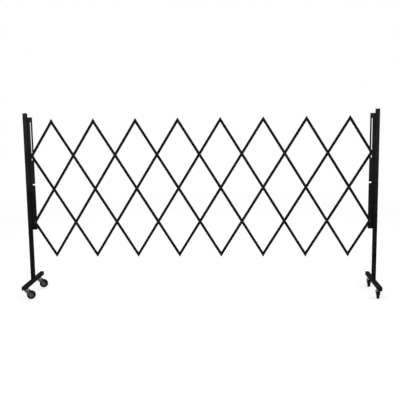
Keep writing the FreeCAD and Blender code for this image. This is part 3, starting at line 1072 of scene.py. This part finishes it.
    def build_sliders(self) -> None:
        """Set the two upper end pivots: a rivet whose bush runs in the guide plate's slot."""
        pin = self.model_rivet(self.waist_radius)
        bush = self.model_ring("bush", self.waist_radius, self.bush_radius)
        for side, column, number in ((Side.LEFT, 0, 1), (Side.RIGHT, self.last_column, self.diamonds + 1)):
            name = f"{side.value}_slider"
            body = f"rising_{number:02d}"
            place = Matrix.Translation(self.crossing((column, self.slider_row)))
            settle(place_copy(pin, f"{name}_pin", place), RIVET_PAINT, body, name)
            settle(place_copy(bush, f"{name}_bush", place), BUSH_NYLON, body)
        discard(pin, bush)

    def model_bolt(self) -> Piece:
        """Model a button-head bolt with a hexagon socket and a threaded tail.

        Returns:
            The pattern, about the Y axis.
        """
        pin, groove = self.pin_radius, self.pin_radius - self.thread_depth
        head = dome(self.bolt_head_radius, self.bolt_head_height)
        section = [(radius, self.front_face - height) for radius, height in head]
        section.append((pin, self.front_face))
        place = self.nut_high
        while place < self.bolt_end - self.thread_pitch:
            section += [(pin, place), (groove, place + self.thread_pitch / 2)]
            place += self.thread_pitch
        section += [(pin, place), (groove - self.thread_depth, self.bolt_end), (0, self.bolt_end)]
        bolt = turn("bolt", section)
        crown = self.front_face - self.bolt_head_height
        key = add_hexagon("key", self.socket_radius, crown - self.socket_depth, crown + self.socket_depth)
        combine(bolt, key, Merge.CUT)
        return bolt

    def model_nut(self) -> Piece:
        """Model the hexagon nut, with turned chamfers and a bore.

        Returns:
            The pattern, about the Y axis.
        """
        low, high, cut = self.nut_low, self.nut_high, self.nut_chamfer
        blunt, wide = self.nut_radius - cut, self.nut_radius + cut
        nut = add_hexagon("nut", self.nut_radius, low, high)
        chamfers = turn("chamfers", [
            (0, low), (blunt, low), (wide, low + cut), (wide, high - cut), (blunt, high), (0, high),
        ])
        combine(nut, chamfers, Merge.KEEP_COMMON)
        combine(nut, rod("bore", self.hole_radius, 0, self.bolt_end), Merge.CUT)
        return nut

    def build_bolts(self) -> None:
        """Set the two lower end pivots, each a bolt with its nut."""
        pattern = join([self.model_bolt(), self.model_nut()], "bolt_and_nut")
        shade(pattern)
        for side, column in ((Side.LEFT, 0), (Side.RIGHT, self.last_column)):
            place = Matrix.Translation(self.crossing((column, 0)))
            bolt = place_copy(pattern, f"{side.value}_lower_pivot", place)
            settle(bolt, PIVOT_STEEL, f"{side.value}_stand", f"{side.value}_pivot_bolt")
        discard(pattern)

    def build(self) -> None:
        """Build the whole lattice."""
        self.build_slats()
        self.build_rivets()
        self.build_sliders()
        self.build_bolts()


@dataclass
class Stand:
    """One wheeled end, in its own frame: X outwards from the post's axis, Z up from the floor."""

    plate_thickness: float = 3 * MM
    plate_corner: float = 3 * MM
    plate_corner_steps: int = 5
    plate_edge: float = 0.35 * MM
    slot_width: float = 4.2 * MM
    slot_drop: float = 27 * MM
    slot_rise: float = 186 * MM
    notch_rise: float = 216 * MM
    notch_height: float = 8 * MM
    notch_depth: float = 15 * MM
    slot_roundness: float = 0.999
    slot_steps: int = 10
    hole_radius: float = PIVOT_HOLE
    tube_side: float = 22 * MM
    tube_wall: float = 1.5 * MM
    tube_corner: float = 2 * MM
    cap_thickness: float = 2.5 * MM
    cap_crown: float = 1.1 * MM
    cap_steps: int = 4
    plug_depth: float = 12 * MM
    plug_gap: float = 0.1 * MM
    plug_taper: float = 0.95
    base_bead_radius: float = 2.1 * MM
    base_bead_length: float = 15 * MM
    stitch_radius: float = 1.6 * MM
    stitch_length: float = 22 * MM
    stitch_margin: float = 12 * MM
    stitch_count: int = 5
    bead_ripple: float = 1.3 * MM
    bead_waist: float = 0.86
    bead_nose: Pair = (0.6, 0.25)

    def __post_init__(self) -> None:
        """Take the stand's main places from the frame."""
        self.pivot = joint_place("right_stand_pivot")
        low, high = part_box("right_post_tube")
        self.post_axis = (low.x + high.x) / 2
        self.post_low = low.z
        self.post_high = high.z
        self.pivot_across = self.pivot.x - self.post_axis
        self.slider_height = joint_place("rising_01_pivot").z

    def place(self, side: Side) -> Matrix:
        """Place of a stand's own frame."""
        across = -self.post_axis if side is Side.LEFT else self.post_axis
        return turned_to(side.heading, "Z", (across, 0, 0))

    def model_slot(self, name: str, low: Pair, high: Pair) -> Piece:
        """Model a cutter with round ends.

        Args:
            name: Name of the cutter.
            low: Lowest corner (X, Z).
            high: Highest corner (X, Z).

        Returns:
            The cutter, right through the plate.
        """
        reach = self.plate_thickness
        cutter = add_block(name, (low[0], -reach, low[1]), (high[0], reach, high[1]))
        radius = self.slot_roundness * min(high[0] - low[0], high[1] - low[1]) / 2
        round_edges(cutter, running("Y"), radius, self.slot_steps)
        return cutter

    def model_plate(self) -> Piece:
        """Model the guide plate: rounded corners, pivot hole, slot and hook notch.

        Returns:
            The pattern, in the stand's own frame.
        """
        low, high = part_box("right_guide_plate")
        shift = Vector((self.post_axis, 0, 0))
        plate = add_block("guide", low - shift, high - shift)
        edge = low.x - self.post_axis
        through = running("Y")
        round_edges(
            plate, lambda start, end: through(start, end) and start.x - edge < SAME_PLACE,
            self.plate_corner, self.plate_corner_steps,
        )
        across, half = self.pivot_across, self.slot_width / 2
        bottom = self.slider_height - self.slot_drop - half
        top = self.slider_height + self.slot_rise + half
        combine(plate, self.model_slot("slot", (across - half, bottom), (across + half, top)), Merge.CUT)
        deep, half = self.notch_depth, self.notch_height / 2
        height = self.pivot.z + self.notch_rise
        notch = self.model_slot("notch", (edge - deep, height - half), (edge + deep, height + half))
        combine(plate, notch, Merge.CUT)
        drill = rod("drill", self.hole_radius, -self.plate_thickness, self.plate_thickness)
        combine(plate, drill, Merge.CUT, [Matrix.Translation((across, 0, self.pivot.z))])
        soften(plate, self.plate_edge)
        return plate

    def model_cap(self) -> Piece:
        """Model a tube's end cap: a crowned head on Z = 0, and a tapered plug under it.

        Returns:
            The pattern, about the Z axis.
        """
        half = self.tube_side / 2
        cap = add_block("cap", (-half, -half, 0), (half, half, self.cap_thickness))
        round_edges(cap, running("Z"), self.tube_corner, self.cap_steps)
        top = self.cap_thickness - SAME_PLACE
        round_edges(cap, lambda start, end: min(start.z, end.z) > top, self.cap_crown, self.cap_steps)
        pick(cap, Part.FACES, lambda middle, normal: normal.z < FACING_DOWN)
        bpy.ops.mesh.inset(thickness=self.tube_wall + self.plug_gap)
        bpy.ops.mesh.extrude_region_move(TRANSFORM_OT_translate={"value": (0, 0, -self.plug_depth)})
        bpy.ops.transform.resize(value=(self.plug_taper, self.plug_taper, 1))
        bpy.ops.object.mode_set(mode="OBJECT")
        shade(cap)
        return cap

    def model_bead(self, name: str, radius: float, length: float) -> Piece:
        """Model a weld bead along Y, from the origin: a rippled rod with round ends.

        Args:
            name: Name of the pattern.
            radius: Radius at the top of a ripple.
            length: Length of the bead.

        Returns:
            The pattern.
        """
        waist = radius * self.bead_waist
        nose, tip = waist * self.bead_nose[0], radius * self.bead_nose[1]
        count = round((length - 2 * radius) / self.bead_ripple)
        ripple = (length - 2 * radius) / count
        section = [(0, 0), (nose, tip), (waist, radius)]
        for step in range(count):
            start = radius + step * ripple
            section += [(radius, start + ripple / 2), (waist, start + ripple)]
        section += [(nose, length - tip), (0, length)]
        bead = turn(name, section, BEAD_STEPS)
        bpy.ops.object.shade_smooth()
        return bead

    def model_welds(self) -> Piece:
        """Model the beads round the post's base, and the stitches along both faces of the plate.

        Returns:
            The pattern, in the stand's own frame.
        """
        low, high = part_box("right_guide_plate")
        half = self.tube_side / 2
        base = self.model_bead("base_bead", self.base_bead_radius, self.base_bead_length)
        stitch = self.model_bead("stitch", self.stitch_radius, self.stitch_length)
        first = low.z + self.stitch_margin
        run = high.z - low.z - 2 * self.stitch_margin - self.stitch_length
        beads = []
        for face in (-1, 1):
            start = (-self.base_bead_length / 2, face * half, self.post_low)
            beads.append(place_copy(base, "base_copy", turned_to(-QUARTER, "Z", start)))
            for number in range(self.stitch_count):
                height = first + run * number / (self.stitch_count - 1)
                start = (-half, face * self.plate_thickness / 2, height)
                beads.append(place_copy(stitch, "stitch_copy", turned_to(QUARTER, "X", start)))
        discard(base, stitch)
        return join(beads, "welds")

    def build(self) -> None:
        """Build both stands from one set of patterns."""
        plate = self.model_plate()
        cap = self.model_cap()
        welds = self.model_welds()
        foot_low, foot_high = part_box("right_foot_tube")
        middle = (foot_low.z + foot_high.z) / 2
        for side in Side:
            name = side.value
            place = self.place(side)
            body = f"{name}_stand"
            slotted = place_copy(plate, f"{name}_slotted_plate", place)
            settle(slotted, FRAME_PAINT, body, f"{name}_guide_plate")
            top = place @ Matrix.Translation((0, 0, self.post_high))
            settle(place_copy(cap, f"{name}_top_cap", top), CAP_PLASTIC, body, f"{name}_post_cap")
            front = place @ turned_to(QUARTER, "X", (0, foot_low.y, middle))
            rear = place @ turned_to(-QUARTER, "X", (0, foot_high.y, middle))
            plugs = [place_copy(cap, "plug_copy", spot) for spot in (front, rear)]
            settle(join(plugs, f"{name}_end_plugs"), CAP_PLASTIC, body, f"{name}_foot_plugs")
            settle(place_copy(welds, f"{name}_weld_beads", place), FRAME_PAINT, body)
            repaint(FRAME_PAINT, f"{name}_post_tube", f"{name}_foot_tube")
            repaint(BRIGHT_LIT_ZINC, f"{name}_castor_studs")
        discard(plate, cap, welds)


@dataclass
class Castor:
    """The four castors: a moulded core in a rubber tyre, between the legs of a plated fork."""

    tread_radius: float = 25 * MM
    tread_crown: float = 1.2 * MM
    tread_steps: int = 6
    half_width: float = 8.5 * MM
    shoulder: float = 1.0 * MM
    shoulder_shares: Pair = (0.2, 0.35)
    bead_groove: float = 0.4 * MM
    rim_outside: float = 14 * MM
    rim_inside: float = 11.8 * MM
    rim_half: float = 8.1 * MM
    web_half: float = 3 * MM
    hub_radius: float = 8 * MM
    hub_half: float = 8.7 * MM
    bore: float = 3.05 * MM
    chamfer: float = 0.6 * MM
    rib_count: int = 6
    rib_half: float = 0.9 * MM
    rib_roundness: float = 0.6
    rib_reach: float = 6.6 * MM
    axle_radius: float = 3 * MM
    axle_head: float = 5 * MM
    axle_dome: float = 1.3 * MM
    leg_gap: float = 0.3 * MM
    leg_thickness: float = 2 * MM
    leg_flare: float = 3.2 * MM
    leg_bend: float = 2.4 * MM
    flare_low: float = 31 * MM
    flare_high: float = 49 * MM
    bell_steps: int = 10
    boss_radius: float = 7 * MM
    boss_steps: int = 14
    trail: float = 24 * MM
    back: float = 10 * MM
    front: float = 12 * MM
    lip: float = 10 * MM
    arch_rise: float = 5 * MM
    arch_steps: int = 16
    crown_low: float = 52 * MM
    crown_high: float = 54.5 * MM
    crown_radius: float = 15 * MM
    crown_edge: float = 0.9 * MM
    crown_blunt: float = 0.3
    race_radius: float = 10.5 * MM
    race_high: float = 56.2 * MM
    kingpin_radius: float = 4.1 * MM
    fork_edge: float = 0.3 * MM
    overlap: float = 0.1 * MM

    def __post_init__(self) -> None:
        """Work out where the fork's legs end, outwards and at the back."""
        self.outside = self.hub_half + self.leg_gap + self.leg_thickness
        self.lip_low = self.crown_high - self.lip

    def boss_arc(self) -> list[Pair]:
        """Draw a leg's round end, from its front edge under the axle to its rear edge.

        Returns:
            Points (along the trail, up).
        """
        ends = []
        for along, up, way in ((self.front, self.crown_high, -1), (-self.back, self.lip_low, 1)):
            corner = Vector((along - self.trail, up - self.tread_radius))
            ends.append(math.atan2(corner.y, corner.x) + way * math.acos(self.boss_radius / corner.length))
        first, last = ends[0], ends[1] - 2 * math.pi
        arc = []
        for step in range(self.boss_steps + 1):
            angle = first + (last - first) * step / self.boss_steps
            along = self.trail + self.boss_radius * math.cos(angle)
            arc.append((along, self.tread_radius + self.boss_radius * math.sin(angle)))
        return arc

    def bell(self, inset: float, top: float, bend: float) -> list[Pair]:
        """Outline of the fork seen along its trail: legs that spread towards the crown.

        Args:
            inset: Distance inside the fork's outer face.
            top: Height of the outline's top.
            bend: Radius of the bend between crown and leg.

        Returns:
            Corners (across, up), round the whole outline.
        """
        foot = self.outside - inset
        wide = foot + self.leg_flare
        parts = [step / self.bell_steps for step in range(self.bell_steps + 1)]
        half = [(foot, 0.0)]
        for part in parts:
            eased = part * part * (3 - 2 * part)
            up = self.flare_low + (self.flare_high - self.flare_low) * part
            half.append((foot + self.leg_flare * eased, up))
        for part in parts:
            angle = QUARTER * part
            half.append((wide - bend + bend * math.cos(angle), top - bend + bend * math.sin(angle)))
        return half + [(-across, up) for across, up in reversed(half)]

    def model_arch(self) -> Piece:
        """Model the cutter for the arch under the fork's back, along Y.

        Returns:
            The cutter.
        """
        span = self.hub_half
        outline = [(span, 0.0)]
        for step in range(self.arch_steps + 1):
            angle = math.pi * step / self.arch_steps
            outline.append((span * math.cos(angle), self.lip_low + self.arch_rise * math.sin(angle)))
        outline.append((-span, 0.0))
        return prism("arch", outline, self.back - 2 * self.leg_thickness, self.back + self.leg_thickness)

    def model_crown(self) -> Piece:
        """Model the fork's round crown with its ball race, along Y.

        Returns:
            The crown, a little thicker than the fork's top so that the two weld.
        """
        low, high = self.crown_low - self.overlap, self.crown_high + self.overlap
        wide, race, edge = self.crown_radius, self.race_radius, self.crown_edge
        blunt = self.crown_blunt * edge
        return turn("crown", [
            (0, low), (wide - edge, low), (wide, low + edge), (wide, high - edge),
            (wide - blunt, high - blunt), (wide - edge, high), (race + edge, high), (race, high + blunt),
            (race - edge, self.race_high), (0, self.race_high),
        ])

    def model_fork(self) -> Piece:
        """Model the pressed fork on its swivel axis, with X along the trail and Z up from the floor.

        Returns:
            The pattern.
        """
        reach, thin, top = 2 * self.crown_radius, self.leg_thickness, self.crown_high
        across = [Matrix.Rotation(QUARTER, 4, "Z")]
        upright = [Matrix.Rotation(QUARTER, 4, "X")]
        corners = [(-self.back, self.lip_low), (-self.back, top), (self.front, top)]
        fork = prism("fork", [*corners, *self.boss_arc()], -reach, reach)
        bell = prism("bell", self.bell(0.0, top, self.leg_bend), -2 * reach, 2 * reach)
        combine(fork, bell, Merge.KEEP_COMMON, across)
        inside = self.bell(thin, self.crown_low, self.leg_bend - thin)
        combine(fork, prism("room", inside, -2 * reach, self.back - thin), Merge.CUT, across)
        combine(fork, self.model_arch(), Merge.CUT, across)
        combine(fork, self.model_crown(), Merge.WELD, upright)
        kingpin = rod("kingpin", self.kingpin_radius, self.crown_low - reach, top + reach)
        combine(fork, kingpin, Merge.CUT, upright)
        axle = [Matrix.Translation((self.trail, 0, self.tread_radius))]
        combine(fork, rod("axle_hole", self.bore, -reach, reach), Merge.CUT, axle)
        soften(fork, self.fork_edge)
        return fork

    def model_axle(self) -> Piece:
        """Model the axle: a pin with a domed head at each end, outside the fork's legs.

        Returns:
            The pattern, about the Y axis.
        """
        head = dome(self.axle_head, self.axle_dome)
        front = [(radius, -self.outside - height) for radius, height in head]
        rear = [(radius, self.outside + height) for radius, height in reversed(head)]
        shank = [(self.axle_radius, -self.outside), (self.axle_radius, self.outside)]
        return turn("axle", [*front, *shank, *rear])

    def turn_wheel(self, name: str, half: Section, tread: Section = ()) -> Piece:
        """Turn a part of the wheel that is alike on both faces.

        Args:
            name: Name of the pattern.
            half: Section of one face, from the inside out.
            tread: Section between the outer ends of the two faces.

        Returns:
            The pattern, about the Y axis.
        """
        other = [(radius, -across) for radius, across in half]
        return turn(name, [*other, *tread, *reversed(half), other[0]], WHEEL_STEPS)

    def model_tyre(self) -> Piece:
        """Model the tyre: crowned tread, round shoulders and a groove along each bead.

        Returns:
            The pattern, about the Y axis.
        """
        wide, groove, inner = self.half_width, self.bead_groove, self.rim_outside
        edge = self.tread_radius - self.tread_crown
        in_share, down_share = self.shoulder_shares
        ball = (wide ** 2 + self.tread_crown ** 2) / (2 * self.tread_crown)
        tread = []
        for step in range(-self.tread_steps, self.tread_steps + 1):
            across = step / self.tread_steps * (wide - self.shoulder)
            tread.append((self.tread_radius - ball + math.sqrt(ball ** 2 - across ** 2), across))
        wall = [
            (inner, wide), (inner + 2 * groove, wide), (inner + 3 * groove, wide - groove),
            (inner + 4 * groove, wide), (edge - self.shoulder, wide),
            (edge - in_share * self.shoulder, wide - down_share * self.shoulder),
        ]
        return self.turn_wheel("tyre", wall, tread)

    def model_core(self) -> Piece:
        """Model the wheel's core: hub, web and rim, with ribs on both faces.

        Returns:
            The pattern, about the Y axis.
        """
        cut, hub, rim = self.chamfer, self.hub_radius, self.rim_inside
        core = self.turn_wheel("core", [
            (self.bore, self.hub_half), (hub - cut, self.hub_half), (hub, self.hub_half - cut),
            (hub, self.web_half), (rim, self.web_half), (rim, self.rim_half - cut),
            (rim + cut, self.rim_half), (self.rim_outside, self.rim_half),
        ])
        reach, half = self.rib_reach, self.rib_half
        rib = add_block("rib", (hub - cut, -reach, -half), (rim + cut, reach, half))
        round_edges(rib, running("X"), half * self.rib_roundness, EDGE_STEPS)
        turns = [2 * math.pi * number / self.rib_count for number in range(self.rib_count)]
        combine(core, rib, Merge.WELD, [Matrix.Rotation(angle, 4, "Y") for angle in turns])
        shade(core)
        return core

    def place(self, name: str) -> Matrix:
        """Find a castor's wheel, with X along the trail and Y along the axle.

        Args:
            name: The castor's side and end.

        Returns:
            Place of the wheel's middle.
        """
        axle = joint_place(f"{name}_spin")
        trail = axle - joint_place(f"{name}_swivel")
        return turned_to(math.atan2(trail.y, trail.x), "Z", axle)

    def build(self) -> None:
        """Build the four castors from one set of patterns."""
        tyre = self.model_tyre()
        core = self.model_core()
        fork = self.model_fork()
        axle = self.model_axle()
        to_swivel = Matrix.Translation((-self.trail, 0, -self.tread_radius))
        for side in Side:
            for end in End:
                name = f"{side.value}_{end.value}"
                place = self.place(name)
                body = f"{name}_roller"
                settle(place_copy(tyre, f"{name}_tyre", place), TYRE_RUBBER, body, f"{name}_wheel")
                settle(place_copy(core, f"{name}_core", place), WHEEL_PLASTIC, body)
                body = f"{name}_castor"
                pressed = place_copy(fork, f"{name}_pressed_fork", place @ to_swivel)
                settle(pressed, DULL_SHADED_ZINC, body, f"{name}_fork")
                settle(place_copy(axle, f"{name}_axle_pin", place), AXLE_STEEL, body, f"{name}_axle")
        discard(tyre, core, fork, axle)


@dataclass(frozen=True)
class Softbox:
    """One soft studio lamp."""

    name: str
    place: Triple
    aim: Triple
    size: Pair
    power: float


@dataclass
class Studio:
    """Plain pale floor, soft light, white surroundings and the camera."""

    softboxes: tuple[Softbox, ...] = (
        Softbox("key", place=(-1.6, -2.6, 3.0), aim=(0.0, 0.0, 0.5), size=(2.6, 1.8), power=70.0),
        Softbox("fill", place=(2.2, -2.0, 2.6), aim=(0.0, 0.0, 0.5), size=(2.2, 1.8), power=45.0),
        Softbox("back", place=(0.0, 2.6, 3.2), aim=(0.0, 0.0, 0.4), size=(3.2, 1.6), power=60.0),
    )
    surround_light: float = 0.45
    floor_size: float = 40.0
    floor_colour: Colour = (0.8, 0.8, 0.8)
    floor_rough: float = 0.9
    floor_specular: float = 0.0
    floor_matt: Colour = (0.40, 0.40, 0.40)
    floor_glow: float = 0.63
    floor_fade: Pair = (1.9, 4.2)
    lens: float = 57.113
    sensor: float = 36.0
    camera_place: Triple = (0.1936, -3.5476, 1.0475)
    pitch: float = 0.1410
    yaw: float = -0.0543
    roll: float = 0.0135

    def build_surround(self) -> None:
        """Set white surroundings to the eye, and a plain soft light to everything else."""
        world = bpy.data.worlds.new("surround")
        bpy.context.scene.world = world
        recipe = Recipe(world)
        light = recipe.find("BACKGROUND")
        recipe.fill(light, {"Color": WHITE, "Strength": self.surround_light})
        white = recipe.add("Background", 0, {"Color": WHITE})
        choose = recipe.add("MixShader", 0, {0: recipe.seen_rays(), 1: light.outputs[0], 2: white})
        recipe.fill(recipe.find("OUTPUT_WORLD"), {"Surface": choose})

    def floor_material(self) -> Material:
        """Mix a pale floor that keeps the shadow near the object and fades to white further out.

        Returns:
            The material.
        """
        material = bpy.data.materials.new("studio_floor")
        recipe = Recipe(material)
        shader = recipe.find("BSDF_PRINCIPLED")
        recipe.feed({"Base Color": (*self.floor_colour, 1), "Roughness": self.floor_rough})
        recipe.feed({"Specular IOR Level": self.floor_specular})
        matt = recipe.add("BsdfDiffuse", 0, {"Color": (*self.floor_matt, 1)})
        glow = recipe.add("Emission", 0, {"Strength": self.floor_glow})
        near = recipe.add("AddShader", 0, {0: matt, 1: glow})
        far = recipe.add("Emission", 0, {})
        reach = recipe.add("VectorMath", "Value", {0: recipe.object_place()}, operation="LENGTH")
        fade = recipe.spread(reach, self.floor_fade, FULL)
        seen = recipe.add("MixShader", 0, {0: fade, 1: near, 2: far})
        choose = recipe.add("MixShader", 0, {0: recipe.seen_rays(), 1: shader.outputs[0], 2: seen})
        recipe.fill(recipe.find("OUTPUT_MATERIAL"), {"Surface": choose})
        return material

    def build_floor(self) -> None:
        """Lay the floor under the wheels."""
        bpy.ops.object.select_all(action="DESELECT")
        bpy.ops.mesh.primitive_plane_add(size=self.floor_size)
        floor = rename(bpy.context.object, "studio_floor")
        floor.data.materials.append(self.floor_material())

    def build_lamps(self) -> None:
        """Hang the soft lamps."""
        for box in self.softboxes:
            aim = Vector(box.aim) - Vector(box.place)
            turned = aim.to_track_quat("-Z", "Y").to_euler()
            bpy.ops.object.light_add(type="AREA", location=box.place, rotation=turned)
            lamp = rename(bpy.context.object, f"{box.name}_softbox")
            lamp.data.shape = "RECTANGLE"
            lamp.data.size, lamp.data.size_y = box.size
            lamp.data.energy = box.power

    def build_camera(self) -> None:
        """Set the camera at the photograph's viewing angle."""
        bpy.ops.object.camera_add()
        camera = rename(bpy.context.object, "photo_camera")
        camera.data.lens = self.lens
        camera.data.sensor_width = self.sensor
        heading = turned_to(-self.yaw, "Z", self.camera_place)
        tilted = heading @ Matrix.Rotation(QUARTER - self.pitch, 4, "X")
        camera.matrix_world = tilted @ Matrix.Rotation(-self.roll, 4, "Z")
        bpy.context.scene.camera = camera

    def build(self) -> None:
        """Build the whole studio."""
        bpy.context.scene.view_settings.view_transform = "Standard"
        self.build_surround()
        self.build_floor()
        self.build_lamps()
        self.build_camera()


def main() -> None:
    """Build the barrier's pieces and the studio in order."""
    logging.basicConfig(level=logging.INFO, format="%(name)s: %(message)s")
    Lattice().build()
    Stand().build()
    Castor().build()
    Studio().build()


if __name__ == "__main__":
    main()
